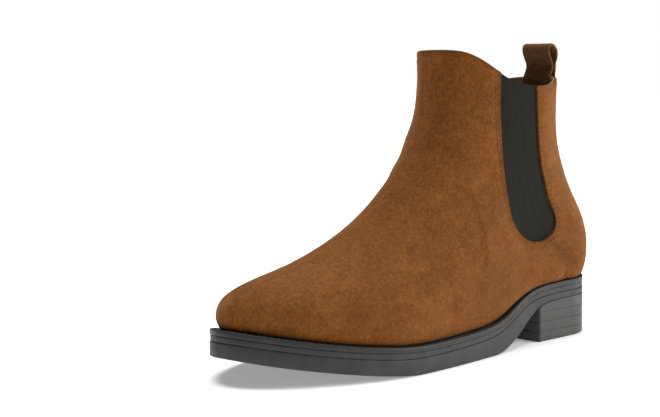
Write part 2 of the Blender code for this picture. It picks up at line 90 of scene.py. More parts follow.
# Half-width of the shaft from bottom to top, and how far the topline dips between its ends.
SHAFT_HALF = [(0, 33), (0.45, 34), (0.7, 32.5), (0.85, 32), (1.0, 33)]
TOPLINE_DIP = [
    (0, 0), (0.06, 0), (0.16, -4), (0.30, -11), (0.42, -13.5), (0.55, -13), (0.75, -9),
    (0.9, -3), (1, 0),
]

# Feather line, where upper meets sole, and the underside of the outsole.
FEATHER = [
    (-5, 36.9), (35, 36.2), (62, 35.3), (76, 33.9), (88, 31.1), (100, 26.9), (114, 21.8),
    (130, 18.5), (150, 17.0), (180, 16.2), (205, 16.2), (235, 18.7), (265, 23.1),
    (285, 26.8), (300, 29.9),
]
UNDERSIDE = [
    (-5, 26.0), (35, 25.2), (62, 24.0), (76, 20.6), (88, 13.8), (100, 7.2), (112, 2.6),
    (124, 0.2), (136, -0.4), (166, -0.4), (196, -0.4), (212, 0.5), (235, 3.0), (265, 7.6),
    (285, 11.3), (300, 14.6),
]

# Length and fullness of the round toe and heel, then fullness of the foot's section and of the
# shaft's front and rear.
TOE_ROUND, TOE_POWER = 86, 1.85
HEEL_ROUND, HEEL_POWER = 36, 2.1
SECTION_ACROSS, SECTION_UP = 2.1, 2.0
FRONT_POWER, REAR_POWER = 2.2, 2.0

# How far the foot swells out just above the sole, and over what height.
SWELL, SWELL_HEIGHT = 3.0, 6.0

# How fast the feather line's and the topline's shapes fade with height, and the heights in mm
# over which the foot part turns into the shaft and the middle line straightens.
FEATHER_FADE, TOPLINE_FADE = 2.2, 3
SHAFT_BLEND, MIDDLE_BLEND = (58, 130), (60, 120)

# Elastic gusset: its edges as distances in mm round the boot from the back seam, by height v.
GUSSET_BACK = [(0.23, 71.5), (0.33, 70.0), (0.43, 67.2), (0.62, 62.6), (0.85, 62.3), (1, 65.5)]
GUSSET_FRONT = [
    (0.23, 110.5), (0.33, 112), (0.43, 112.5), (0.54, 107.6), (0.67, 101.4), (0.85, 98), (1, 99.7),
]
# Heights v of its lowest point and of the top of its rounded foot, and v per mm near there.
GUSSET_FOOT, GUSSET_ROUND, V_PER_MM = 0.236, 0.375, 0.0035
SIDE_SEAM = [(0, 60), (0.08, 65), (0.15, 74), (0.205, 84.5), (0.236, 91)]

# The cut of one gusset in metres and square metres, with its seam laps in mm.
GUSSET_CUT, GUSSET_AREA, GUSSET_LAP = (0.055, 0.103), 0.0051, 5.0

# Suede thickness, depths of the elastic's face and back, and how it is ribbed and drawn in.
SUEDE = 1.5
ELASTIC = (1.35, 2.6)
RIB_PITCH, RIB_DEPTH, GUSSET_DIP = 1.55, 0.30, 0.55

# Back stay: half-width, height above the quarters, and its stitch row's distance from the edge.
STAY_HALF, STAY_RISE, STAY_STITCH = 10.0, 1.45, 1.7


def natural_cubic(points):
    """A smooth function through (x, y) points, level beyond its ends."""
    xs, ys = np.array(points, float).T
    count = len(xs)
    step = np.diff(xs)
    slope = np.diff(ys) / step
    system = np.eye(count)
    for i in range(1, count - 1):
        system[i, i - 1:i + 2] = step[i - 1], 2 * (step[i - 1] + step[i]), step[i]
    bend = np.linalg.solve(system, np.r_[0, 6 * np.diff(slope), 0])

    def value(x):
        x = np.clip(x, xs[0], xs[-1])
        i = np.clip(np.searchsorted(xs, x) - 1, 0, count - 2)
        a, h = x - xs[i], step[i]
        first = slope[i] - h * (2 * bend[i] + bend[i + 1]) / 6
        return ys[i] + a * (first + a * (bend[i] / 2 + a * (bend[i + 1] - bend[i]) / (6 * h)))

    return value


def unit(vectors):
    return vectors / (np.linalg.norm(vectors, axis=-1, keepdims=True) + 1e-12)


def run_along(points):
    """Distance along a line at each of its points."""
    return np.r_[0, np.cumsum(np.linalg.norm(np.diff(points, axis=0), axis=1))]


def read_at(places, run, values):
    """Rows of values that are known at the distances run, read at other places."""
    return np.stack([np.interp(places, run, column) for column in values.T], -1)


def path(points):
    """A smooth curve (s, z) through points, by its share v of the length, 0 to 1."""
    points = np.array(points, float)
    run = run_along(points)
    along, up = (natural_cubic(np.c_[run / run[-1], column]) for column in points.T)
    return lambda v: np.stack([along(v), up(v)], -1)


ridge, back_seam = path(RIDGE), path(BACK_SEAM)
outer_half, inner_half = natural_cubic(OUTER_HALF), natural_cubic(INNER_HALF)
middle_line, shaft_half = natural_cubic(MIDDLE_LINE), natural_cubic(SHAFT_HALF)
topline_dip, feather, underside_line = map(natural_cubic, (TOPLINE_DIP, FEATHER, UNDERSIDE))
gusset_back, gusset_front, side_seam = map(natural_cubic, (GUSSET_BACK, GUSSET_FRONT, SIDE_SEAM))

RIDGE_DENSE = ridge(np.linspace(0, 1, 1200))
RIDGE_TOP = RIDGE_DENSE[RIDGE_DENSE[:, 0].argmax():][::-1]


def ease(start, end, x):
    """0 before start, 1 after end, and smooth between them."""
    q = np.clip((x - start) / (end - start), 0, 1)
    return q * q * (3 - 2 * q)


def rounding(share, power):
    """How a round end widens from its tip, share 0, to its full width, share 1."""
    return (1 - (1 - np.clip(share, 0, 1)) ** power) ** (1 / power)


def skin(v, u):
    """Point on the suede's face: v runs up from the feather line, u once round from the ridge."""
    v, u = np.broadcast_arrays(np.asarray(v, float), np.asarray(u, float))
    side = np.where(np.mod(u, 1) <= 0.5, 1.0, -1.0)
    t = (1 - np.cos(TAU * u)) / 2
    front, back, toe, heel = ridge(v), back_seam(v), ridge(0.0), back_seam(0.0)
    s = front[..., 0] + (back[..., 0] - front[..., 0]) * t
    z = front[..., 1] + (back[..., 1] - front[..., 1]) * t
    base_s = toe[0] + (heel[0] - toe[0]) * t
    base_z = toe[1] + (heel[1] - toe[1]) * t
    z = z + (feather(base_s) - base_z) * (1 - v) ** FEATHER_FADE
    z = z + topline_dip(t) * v ** TOPLINE_FADE

    low = feather(s)
    height = np.maximum(np.interp(s, RIDGE_TOP[:, 0], RIDGE_TOP[:, 1]) - low, 1)
    up = np.clip((z - low) / height, 0, 1)
    crown = np.maximum(1 - up ** SECTION_UP, 1e-9) ** (1 / SECTION_ACROSS)
    toe_s = np.interp(z, RIDGE_DENSE[:, 1], RIDGE_DENSE[:, 0])
    nose = np.maximum(rounding((toe_s - s) / TOE_ROUND, TOE_POWER), 1e-6)
    narrowing = (nose ** -2 + crown ** -2 - 1) ** -0.5
    half = np.where(side > 0, outer_half(s), inner_half(s))
    half = half + SWELL * (1 - np.exp(-np.maximum(z - low, 0) / SWELL_HEIGHT))
    foot = half * narrowing * rounding((s - back[..., 0]) / HEEL_ROUND, HEEL_POWER)
    power = np.where(t > 0.5, REAR_POWER, FRONT_POWER)
    leg = shaft_half(v) * (1 - np.abs(2 * t - 1) ** power) ** (1 / power)
    blend = ease(*SHAFT_BLEND, z)
    x = np.where((t <= 0) | (t >= 1), 0, (1 - blend) * foot + blend * leg)
    x = middle_line(s) * (1 - ease(*MIDDLE_BLEND, z)) + side * x
    return np.stack([x, s, z], -1)


def inward(v, u):
    """Unit normal of the suede's face, towards the foot."""
    h = 0.004
    rise = skin(np.minimum(v + h, 1), u) - skin(np.maximum(v - h, 0), u)
    return unit(np.cross(skin(v, u + h) - skin(v, u - h), rise))


def row_at(v, side, distances):
    """Values of u along the row v at these distances from the back seam, and its whole length."""
    us = 0.5 - side * np.linspace(0, 0.5, 400)
    run = run_along(skin(v, us))
    return np.interp(distances, run, us), run[-1]


def elastic_edges(v, extra=0.0):
    """Distances from the back seam of the gusset's back and front edges, widened by extra."""
    back, front = float(gusset_back(v)), float(gusset_front(v))
    middle, half = (back + front) / 2, (front - back) / 2 + extra
    foot = GUSSET_FOOT - V_PER_MM * extra
    if v < foot:
        return float(side_seam(v)), float(side_seam(v))
    if v < GUSSET_ROUND:
        half *= math.sqrt(max(0.0, 1 - ((GUSSET_ROUND - v) / (GUSSET_ROUND - foot)) ** 2))
    return middle - half, middle + half


def outwards(steps):
    """Outward directions in plan beside the steps of a line round the sole."""
    along = unit(steps)
    return np.c_[-along[:, 1], along[:, 0]]


def plan(extra, count=240):
    """Plan outline (x, s) of the feather line, pushed outwards by extra(s)."""
    line = skin(0.0, np.arange(count) / count)[:, :2]
    outward = outwards(np.roll(line, -1, axis=0) - np.roll(line, 1, axis=0))
    return line + outward * extra(line[:, 1])[:, None]


def margin(s):
    """How far the sole stands out beyond the upper."""
    return 1.4 + 3.1 * ease(70, 140, s) + 0.8 * ease(250, 295, s)


def underside(s):
    """Height of the outsole's underside, never below the ground."""
    return np.maximum(underside_line(s), 0)


# ---- place in the frame

SOLE_PLAN = plan(margin)
sole_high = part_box("outsole")[1]
MIDDLE_S = sole_high.y / MM + SOLE_PLAN[:, 1].min()
MIDDLE_X = SOLE_PLAN[:, 0].max() - sole_high.x / MM


def to_frame(points):
    """Shape millimetres (x, s, z) to the boot's frame in metres."""
    x, s, z = np.moveaxis(np.asarray(points, float), -1, 0)
    return np.stack([x - MIDDLE_X, MIDDLE_S - s, z], -1) * MM


# ---- mesh helpers

def add_object(name, data):
    made = bpy.data.objects.new(name, data)
    bpy.context.scene.collection.objects.link(made)
    return made


def add_mesh(name, points, faces, material, attributes=None):
    """One mesh object; attributes are per-point numbers or vectors that materials read."""
    mesh = bpy.data.meshes.new(name)
    mesh.from_pydata(np.asarray(points).tolist(), [], [tuple(f) for f in faces])
    for label, values in (attributes or {}).items():
        values = np.asarray(values, np.float32)
        kind, field = ("FLOAT_VECTOR", "vector") if values.ndim == 2 else ("FLOAT", "value")
        mesh.attributes.new(label, kind, "POINT").data.foreach_set(field, values.ravel())
    mesh.shade_smooth()
    mesh.materials.append(material)
    return add_object(name, mesh)


def grid_faces(rows, columns, start=0, wrap=False):
    """Quads of a grid of points stored row by row."""
    across = np.arange(columns if wrap else columns - 1)
    row = start + np.arange(rows - 1)[:, None] * columns
    a, b = row + across, row + (across + 1) % columns
    return np.stack([a, b, b + columns, a + columns], -1).reshape(-1, 4)


def sheet_solid(name, face, back, material, attributes=None):
    """A closed sheet between two grids of points of the same size, facing outwards."""
    rows, columns = face.shape[:2]
    size = rows * columns
    points = to_frame(np.r_[face.reshape(-1, 3), back.reshape(-1, 3)])
    grid = np.arange(size).reshape(rows, columns)
    rim = np.r_[grid[0], grid[1:, -1], grid[-1, -2::-1], grid[-2:0:-1, 0]]
    following = np.roll(rim, -1)
    quads = np.r_[
        grid_faces(rows, columns),
        grid_faces(rows, columns, size)[:, ::-1],
        np.stack([following, rim, size + rim, size + following], -1)
    ]
    front = quads[:(rows - 1) * (columns - 1)]
    corners = points[front]
    normals = np.cross(corners[:, 2] - corners[:, 0], corners[:, 3] - corners[:, 1])
    away = (face - back).reshape(-1, 3) * (1, -1, 1)
    if (normals * away[front[:, 0]]).sum() < 0:
        quads = quads[:, ::-1]
    doubled = {k: np.r_[a, a] for k, a in (attributes or {}).items()}
    return add_mesh(name, points, quads, material, doubled)


def boot_piece(piece, replaced, slot):
    """A piece that rides on the boot body in the place of one CAD part."""
    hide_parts(replaced)
    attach(piece, "boot")
    return piece


def panel(name, grid, depths, material, replaced, slot, attributes=None):
    """A sheet between two depths under the grid of a surface, in the place of one CAD part."""
    _, plain, normals = grid
    face, back = (plain + np.asarray(depth)[..., None] * normals for depth in depths)
    return boot_piece(sheet_solid(name, face, back, material, attributes), replaced, slot)


def weld(piece, sharp=50):
    """Joins coinciding points, turns faces outwards and marks edges over this angle sharp."""
    shape = bmesh.new()
    shape.from_mesh(piece.data)
    bmesh.ops.remove_doubles(shape, verts=shape.verts, dist=2e-6)
    bmesh.ops.recalc_face_normals(shape, faces=shape.faces)
    shape.to_mesh(piece.data)
    shape.free()
    piece.data.shade_smooth()
    piece.data.set_sharp_from_angle(angle=math.radians(sharp))


def line_distance(points, line):
    """Distance in mm from each point to a dense line of points."""
    tree = kdtree.KDTree(len(line))
    for i, p in enumerate(line):
        tree.insert(p, i)
    tree.balance()
    return np.reshape([tree.find(p)[2] for p in points.reshape(-1, 3)], points.shape[:-1])


def dense(points, step=0.4):
    """A line resampled at even steps in mm."""
    run = run_along(points)
    return read_at(np.linspace(0, run[-1], max(2, int(run[-1] / step))), run, points)


def waviness(points, scale, seed):
    """Smooth noise from -1 to 1 at points in mm, with features about scale mm across."""
    shift = Vector((seed * 7.3, seed * 3.1, seed * 5.7))
    values = [noise.noise(Vector(p) + shift) for p in points.reshape(-1, 3) / scale]
    return np.reshape(values, points.shape[:-1])


# ---- materials

class Shader:
    """A node material built step by step; a number or a socket can feed any socket."""

    def __init__(self, name):
        self.material = bpy.data.materials.new(name)
        self.material.use_nodes = True
        self.tree = self.material.node_tree
        self.coordinates = self.node("TexCoord").outputs["Object"]

    def feed(self, socket, value):
        if isinstance(value, bpy.types.NodeSocket):
            self.tree.links.new(value, socket)
        else:
            socket.default_value = value

    def node(self, kind, **values):
        node = self.tree.nodes.new("ShaderNode" + kind)
        for label, value in values.items():
            self.feed(node.inputs[label.replace("_", " ")], value)
        return node

    def attribute(self, name, output="Fac"):
        node = self.node("Attribute")
        node.attribute_name = name
        return node.outputs[output]

    def texture(self, kind, output, vector=None, **values):
        """A texture's output, in object coordinates unless a vector is given."""
        return self.node(kind, Vector=vector or self.coordinates, **values).outputs[output]

    def noise(self, scale, detail, roughness, vector=None, distortion=0.0):
        return self.texture(
            "TexNoise", "Fac", vector, Scale=scale, Detail=detail, Roughness=roughness,
            Distortion=distortion,
        )

    def wave(self, vector, scale, direction, distortion=0.0):
        node = self.node("TexWave", Vector=vector, Scale=scale, Distortion=distortion)
        node.bands_direction = direction
        return node.outputs["Fac"]

    def math(self, operation, *values):
        node = self.node("Math")
        node.operation = operation
        for socket, value in zip(node.inputs, values):
            self.feed(socket, value)
        return node.outputs[0]

    def blend(self, *layers):
        """The sum of sockets times their shares, given as (socket, share) pairs."""
        parts = [self.math("MULTIPLY", *layer) for layer in layers]
        return reduce(lambda total, part: self.math("ADD", total, part), parts)

    def span(self, value, low, high, to_low, to_high):
        return self.node(
            "MapRange", Value=value, From_Min=low, From_Max=high, To_Min=to_low, To_Max=to_high
        ).outputs["Result"]

    def ramp(self, value, *stops):
        node = self.node("ValToRGB", Fac=value)
        elements = node.color_ramp.elements
        while len(elements) < len(stops):
            elements.new(0.5)
        for element, (place, colour) in zip(elements, stops):
            element.position = place
            element.color = (*colour, 1)
        return node.outputs["Color"]

    def mix(self, amount, a, b):
        """Colour a where amount is 0 and colour b where it is 1."""
        node = self.node("Mix")
        node.data_type = "RGBA"
        for number, value in ((0, amount), (6, a), (7, (*b, 1))):
            self.feed(node.inputs[number], value)
        return node.outputs[2]

    def finish(self, bumps, **values):
        """The material with these surface values and (height, distance in mm, strength) bumps."""
        for height, distance, strength in bumps:
            node = self.node("Bump", Height=height, Distance=distance * MM, Strength=strength)
            if "Normal" in values:
                self.feed(node.inputs["Normal"], values["Normal"])
            values["Normal"] = node.outputs["Normal"]
        surface = self.tree.nodes["Principled BSDF"].inputs
        for label, value in values.items():
            self.feed(surface[label.replace("_", " ")], value)
        return self.material


def suede_material(name, deep, middle, light, sheen_tint):
    """Napped suede: brushed strokes, short fibres, darker seams and a soft sheen."""
    shader = Shader(name)
    patches = shader.noise(26, 3, 0.55)
    brushed = shader.texture("Mapping", "Vector", Scale=(1, 0.45, 0.7), Rotation=(0.5, 0.2, 0.4))
    strokes = shader.noise(150, 4, 0.62, brushed, 0.7)
    tufts = shader.noise(560, 4, 0.68)
    fibres = shader.noise(1700, 3, 0.7)
    grain = shader.blend((patches, 0.12), (strokes, 0.24), (tufts, 0.40), (fibres, 0.24))
    base = shader.ramp(grain, (0.36, deep), (0.5, middle), (0.64, light))
    seams = shader.span(shader.attribute("seam"), 0.0, 2.6, 0.5, 0.0)
    return shader.finish(
        [(strokes, 0.4, 0.3), (tufts, 0.4, 0.6), (fibres, 0.16, 0.7)],
        Base_Color=shader.mix(seams, base, deep),
        Roughness=shader.span(strokes, 0.3, 0.7, 0.86, 0.98), Specular_IOR_Level=0.12,
        Sheen_Weight=0.22, Sheen_Roughness=0.4, Sheen_Tint=(*sheen_tint, 1),
    )


def elastic_material():
    """Ribbed elastic: a fine crosswise yarn over the rubber cords, with painted shade in the
    grooves between them.
    """
    shader = Shader("elastic_rib")
    weave = shader.attribute("weave", "Vector")
    yarn = shader.wave(weave, 0.62, "Y", 0.6)
    twist = shader.wave(weave, 0.9, "Y", 2.0)
    # Painted shade: the grooves between the cords are darkened towards near-black.
    rib_valley_shade = shader.blend((shader.attribute("rib_valley_shade"), 0.7))
    fluff = shader.noise(900, 4, 0.7)
    base = shader.ramp(
        shader.blend((yarn, 0.35), (fluff, 0.65)), (0.2, (0.005, 0.0045, 0.0034)),
        (0.55, (0.0140, 0.0126, 0.0094)), (0.85, (0.038, 0.034, 0.026)),
    )
    return shader.finish(
        [(yarn, 0.16, 0.55), (twist, 0.08, 0.35), (fluff, 0.08, 0.5)],
        Base_Color=shader.mix(rib_valley_shade, base, (0.003, 0.003, 0.0025)),
        Roughness=shader.span(fluff, 0.3, 0.7, 0.78, 0.92), Specular_IOR_Level=0.14,
        Sheen_Weight=0.05, Sheen_Roughness=0.5, Sheen_Tint=(0.75, 0.7, 0.55, 1),
    )


def leather_material(name, deep, light, roughness):
    """Smooth lining leather: fine pores, faint creases and a dull polish."""
    shader = Shader(name)
    pores = shader.texture("TexVoronoi", "Distance", Scale=900)
    wrinkles = shader.noise(260, 5, 0.65, distortion=0.6)
    base = shader.ramp(shader.noise(55, 4, 0.6), (0.3, deep), (0.7, light))
    return shader.finish(
        [(wrinkles, 0.2, 0.3), (pores, 0.08, 0.45)],
        Base_Color=shader.mix(shader.span(pores, 0.0, 0.35, 0.25, 0.0), base, deep),
        Roughness=shader.span(wrinkles, 0.3, 0.7, roughness - 0.08, roughness + 0.1),
        Specular_IOR_Level=0.4,
    )


def rubber_material(name, deep, light, roughness, scuffs=0.25):
    """Moulded rubber: matte, faintly mottled, with dusty wear."""
    shader = Shader(name)
    cloud = shader.noise(70, 4, 0.6)
    speck = shader.noise(1400, 3, 0.6)
    wear = shader.noise(150, 6, 0.7, distortion=0.4)
    base = shader.ramp(cloud, (0.3, deep), (0.7, light))
    dust = [c * 2.2 + 0.015 for c in light]
    return shader.finish(
        [(cloud, 0.1, 0.2), (speck, 0.07, 0.45)],
        Base_Color=shader.mix(shader.span(wear, 0.56, 0.75, 0.0, scuffs), base, dust),
        Roughness=shader.span(wear, 0.3, 0.7, roughness - 0.07, roughness + 0.12),
        Specular_IOR_Level=0.42,
    )


def thread_material(name, deep, light):
    """Twisted polyester thread."""
    shader = Shader(name)
    turned = shader.texture("Mapping", "Vector", Rotation=(0.6, 0.5, 0.8))
    plies = shader.wave(turned, 900, "DIAGONAL")
    return shader.finish(
        [(plies, 0.08, 0.6)], Base_Color=shader.ramp(plies, (0.1, deep), (0.9, light)),
        Roughness=shader.span(plies, 0, 1, 0.62, 0.5), Specular_IOR_Level=0.12,
    )


def plain_finish(name, colour, rough, metal=False):
    """Speckled finish of a piece that the upper and the sole close in."""
    shader = Shader(name)
    speck = shader.noise(700, 4, 0.65)
    deep, light = ([c * k for c in colour] for k in (0.75, 1.15))
    return shader.finish(
        [(speck, 0.1, 0.3)], Base_Color=shader.ramp(speck, (0.3, deep), (0.7, light)),
        Roughness=shader.span(speck, 0.3, 0.7, rough - 0.05, rough + 0.05),
        Metallic=float(metal),
    )


suede = suede_material(
    "tan_suede_nap", (0.0960, 0.0300, 0.0045), (0.1870, 0.0620, 0.0110), (0.2950, 0.1080, 0.0240),
    (1.0, 0.6, 0.3),
)
dark_suede = suede_material(
    "dark_brown_suede_nap", (0.078, 0.033, 0.0125), (0.160, 0.071, 0.028), (0.245, 0.115, 0.049),
    (0.8, 0.6, 0.45),
)
elastic = elastic_material()
lining_leather = leather_material(
    "lining_leather_grain", (0.27, 0.145, 0.066), (0.39, 0.225, 0.11), 0.55
)
sock_leather = leather_material(
    "sock_leather_grain", (0.20, 0.105, 0.047), (0.30, 0.165, 0.078), 0.5
)
rubber = rubber_material("sole_rubber", (0.023, 0.0215, 0.0185), (0.041, 0.038, 0.033), 0.52)
heel_rubber = rubber_material(
    "heel_rubber", (0.040, 0.038, 0.034), (0.066, 0.063, 0.056), 0.5, 0.3
)
welt_rubber = rubber_material(
    "welt_strip", (0.011, 0.0105, 0.010), (0.021, 0.020, 0.019), 0.45, 0.15
)
tan_thread = thread_material("tan_thread", (0.12, 0.043, 0.009), (0.34, 0.14, 0.036))
welt_thread = thread_material("welt_thread", (0.018, 0.017, 0.015), (0.075, 0.071, 0.063))
brown_thread = thread_material("brown_thread", (0.08, 0.036, 0.014), (0.25, 0.12, 0.052))


# ---- seam lines

def gusset_bend(foot, count):
    """Heights v round the foot of a gusset, close together at its lowest point."""
    turn = np.cos(np.linspace(0, math.pi / 2, count))
    return foot + (GUSSET_ROUND - foot) * (1 - turn)


def edge_line(side, part):
    """(v, u) down the gusset's front or back edge and on down the side seam."""
    which = int(part == "front")
    bend = gusset_bend(GUSSET_FOOT, 60)[::-1]
    vs = np.r_[np.linspace(1, GUSSET_ROUND, 260)[:-1], bend, np.linspace(GUSSET_FOOT, 0, 90)[1:]]
    return vs, np.array([float(row_at(v, side, elastic_edges(v)[which])[0]) for v in vs])


def shifted(vs, us, amount, side):
    """The same line moved this far in mm across the surface; positive is to its left."""
    start = skin(vs, us)
    goal = start + amount * side * np.cross(inward(vs, us), unit(np.gradient(start, axis=0)))
    h = 0.001
    for _ in range(2):
        gap = goal - skin(vs, us)
        low, high = np.maximum(vs - h, 0), np.minimum(vs + h, 1)
        by_v = (skin(high, us) - skin(low, us)) / (high - low)[:, None]
        by_u = (skin(vs, us + h) - skin(vs, us - h)) / (2 * h)
        a, b, c = (by_v * by_v).sum(1), (by_v * by_u).sum(1), (by_u * by_u).sum(1)
        p, q = (by_v * gap).sum(1), (by_u * gap).sum(1)
        det = a * c - b * b
        vs = np.clip(vs + (c * p - b * q) / det, 0, 1)
        us = us + (a * q - b * p) / det
    return vs, us


SIDES = ((1, "outer"), (-1, "inner"))
EDGES = {(side, part): edge_line(side, part) for side, _ in SIDES for part in ("front", "back")}


def stitches(
    name, lines, material, body="boot", pitch=3.1, length=2.35, radius=0.3, lift=0.12
):
    """Rows of sewn stitches: lines are (points, outward normals) in shape millimetres."""
    corners, rings = 6, 5
    turns = (np.arange(corners) * TAU / corners)[None, :, None]
    stations = np.linspace(-1, 1, rings)
    thickness = radius * np.array([0.45, 0.95, 1.0, 0.95, 0.45])[:, None, None]
    rise = lift - 1.1 * radius * stations ** 2
    points, faces = [], []
    for line, normals in lines:
        run = run_along(line)
        count = int(run[-1] / pitch)
        for middle in (np.arange(count) + 0.5) * run[-1] / count:
            places = middle + stations * length / 2
            centre = read_at(places, run, line)
            normal = unit(read_at(places, run, normals))
            aside = np.cross(unit(np.gradient(centre, axis=0)), normal)
            centre = centre + normal * rise[:, None]
            offset = aside[:, None] * np.cos(turns) + normal[:, None] * np.sin(turns)
            start = len(points) * rings * corners
            points.append((centre[:, None] + offset * thickness).reshape(-1, 3))
            first = np.arange(start, start + corners)
            faces += grid_faces(rings, corners, start, wrap=True).tolist()
            faces += [first[::-1].tolist(), (first + (rings - 1) * corners).tolist()]
    piece = add_mesh(name, to_frame(np.concatenate(points)), faces, material)
    weld(piece, 75)
    if body:
        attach(piece, body)
    return piece


# ---- panels of the upper

# Distances in mm of a panel's grid lines from its cut edge.
EDGE_STEPS = np.array([0, 0.12, 0.3, 0.6, 1.0, 1.5, 2.0, 2.5, 3.0, 3.6, 4.2, 4.8, 5.4, 6.2, 7.2])

# Spacing in v of a panel's rows: low down, in a band under the gusset, beside it and at the top.
LOW_STEP, FOOT_STEP, SIDE_STEP, TOP_STEP = 0.0060, 0.0022, 0.0085, 0.0035
FOOT_BAND, TOP_BAND = 0.02, 0.965

# Distances of stitch rows from the seams and from the topline, and the height below it, in mm.
STITCH_AT = (1.7, 3.7)
TOP_STITCH, SHAFT_HEIGHT = 2.4, 118

# Depths of the tuck at the sole, the puff beside a seam, the skive at the side seam and the
# ankle's creases, and the s and z of their middle.
SOLE_TUCK, SEAM_PUFF, SIDE_SKIVE, CREASE_DEPTH = 0.55, 0.22, 0.7, 0.28
ANKLE = (150, 112)


def heights(foot=GUSSET_FOOT, start=0.0, coarse=1.0):
    """Rows of a panel, close together round the foot of the gusset and at the top edge."""
    def steps(low, high, size):
        return np.linspace(low, high, max(2, int((high - low) / (size * coarse))))[:-1]
    band = foot - FOOT_BAND
    low_rows = [steps(start, band, LOW_STEP), steps(band, foot, FOOT_STEP)] if start < band else []
    return np.r_[(
        *low_rows, gusset_bend(foot, int(36 / coarse))[:-1],
        steps(GUSSET_ROUND, TOP_BAND, SIDE_STEP), steps(TOP_BAND, 1, TOP_STEP),
        1 - 0.0012, 1 - 0.0004, 1.0,
    )]


def edge_round(distance, radius=0.55):
    """How far the face drops beside a cut edge."""
    inside = np.clip(radius - distance, 0, radius)
    return radius - np.sqrt(radius ** 2 - inside ** 2)


def groove(distance, place, depth=0.22, width=0.75):
    """The dent that a row of stitches pulls into the face."""
    return depth * np.exp(-((distance - place) / width) ** 2)


def line_points(vs, us):
    return dense(skin(vs, us))


def from_topline(points, start=0, end=1, count=400):
    """Distance in mm from each point to the topline, or to the part of it between two u."""
    return line_distance(points, line_points(np.full(count, 1.0), np.linspace(start, end, count)))


def surface(vs, us):
    """Values of v, points and inward normals over a grid with a row at each height."""
    grid_v = np.repeat(vs[:, None], us.shape[1], axis=1)
    return grid_v, skin(grid_v, us), inward(grid_v, us)


def front_grid(vs, gap, middle_columns):
    """u of a front panel's grid, from the outer edge over the ridge to the inner edge."""
    grid = []
    for v in vs:
        edge = elastic_edges(v)[1] + gap
        halves = []
        for side in (1, -1):
            spare = row_at(v, side, 0.0)[1] - edge
            rest = np.linspace(EDGE_STEPS[-1], spare, middle_columns + 1)[1:]
            halves.append(row_at(v, side, edge + np.r_[EDGE_STEPS, rest])[0])
        grid.append(np.r_[halves[0][:-1], 0.0, halves[1][-2::-1] - 1])
    return np.array(grid)


def back_grid(vs, side, gap, middle_columns):
    """u of a rear panel's grid on one side, from the back seam to the gusset or side seam."""
    grid = []
    for v in vs:
        near = elastic_edges(v)[0] - gap - EDGE_STEPS[::-1]
        rest = np.linspace(0, near[0], middle_columns + 1)[:-1]
        grid.append(row_at(v, side, np.r_[rest, near])[0])
    return np.array(grid)


def relief(grid_v, points, sides, part):
    """Depth below the plain surface and distance to the nearest seam, for suede panels."""
    lines = [line_points(*EDGES[(side, part)]) for side in sides]
    seam, top = line_distance(points, np.concatenate(lines)), from_topline(points)
    above_sole = np.maximum(points[..., 2] - feather(points[..., 1]), 0)
    depth = edge_round(seam) + sum(groove(seam, place) for place in STITCH_AT)
    depth += edge_round(top) + groove(top, TOP_STITCH, 0.2)
    depth += SOLE_TUCK * np.exp(-above_sole / 1.1)
    depth -= SEAM_PUFF * ease(4.2, 8, seam) * (1 - ease(9, 22, seam))
    depth += 0.10 * waviness(points, 5.0, 1) + 0.16 * waviness(points, 17.0, 2)
    depth += creases(points)
    if part == "back":
        below_gusset = 1 - ease(GUSSET_FOOT - 0.01, GUSSET_FOOT + 0.01, grid_v)
        depth += SIDE_SKIVE * below_gusset * (1 - ease(0.5, 7.0, seam))
    return depth, np.minimum(seam, np.minimum(top, above_sole))


def creases(points):
    """Soft folds where the front of the ankle bends."""
    s, z = points[..., 1] - ANKLE[0], points[..., 2]
    near = np.exp(-(s / 24) ** 2 - ((z - ANKLE[1]) / 20) ** 2)
    fold = np.sin((z - 0.62 * s) / 4.6 + 0.8 * waviness(points, 24, 5))
    return CREASE_DEPTH * near * fold


def suede_panel(name, vs, us, sides, part, replaced):
    """One suede panel with its cut edges, stitch dents and creases."""
    grid = surface(vs, us)
    depth, seam = relief(*grid[:2], sides, part)
    panel(name, grid, (depth, SUEDE), suede, replaced, "suede", {"seam": seam.ravel()})


def build_suede():
    vs = heights()
    suede_panel("vamp_suede", vs, front_grid(vs, 0.05, 62), (1, -1), "front", "vamp")
    for side, word in SIDES:
        us = back_grid(vs, side, 0.05, 34)
        suede_panel(f"quarter_{word}_suede", vs, us, (side,), "back", f"quarter_{word}")


def build_stay():
    """The strip over the back seam, with a stitched margin on each side."""
    vs = heights(start=0.012)
    edge_steps = EDGE_STEPS[EDGE_STEPS <= 4][::-1]
    reach = np.r_[np.linspace(0, STAY_HALF - 4, 6)[:-1], STAY_HALF - edge_steps]
    us = np.array([np.r_[row_at(v, 1, reach)[0][::-1], row_at(v, -1, reach)[0][1:]] for v in vs])
    from_edge = np.repeat([STAY_HALF - np.r_[reach[::-1], reach[1:]]], len(vs), axis=0)
    grid = surface(vs, us)
    depth = edge_round(from_edge) + groove(from_edge, STAY_STITCH) - STAY_RISE
    depth += edge_round(from_topline(grid[1], 0.4, 0.6, 200)) + 0.08 * waviness(grid[1], 6, 3)
    seam = {"seam": from_edge.ravel()}
    panel("back_stay_suede", grid, (depth, -0.1), suede, "back_stay", "suede", seam)
    lines = []
    line_v = np.linspace(0.02, 0.985, 300)
    for side in (1, -1):
        line_u = np.array([float(row_at(v, side, STAY_HALF - STAY_STITCH)[0]) for v in line_v])
        lines.append(sewn_line(line_v, line_u, -1.3))
    stitches("back_stay_stitches", lines, tan_thread)


def sewn_line(vs, us, depth):
    """Points of a stitch row at this depth under the suede's face, and its outward normals."""
    normals = inward(vs, us)
    return skin(vs, us) + depth * normals, -normals


def kept_parts(keep, line, normals):
    """The parts of a stitch row where keep is true."""
    changes = np.flatnonzero(np.diff(keep.astype(int))) + 1
    parts = np.split(np.arange(len(keep)), changes)
    return [(line[part], normals[part]) for part in parts if keep[part[0]] and len(part) > 12]


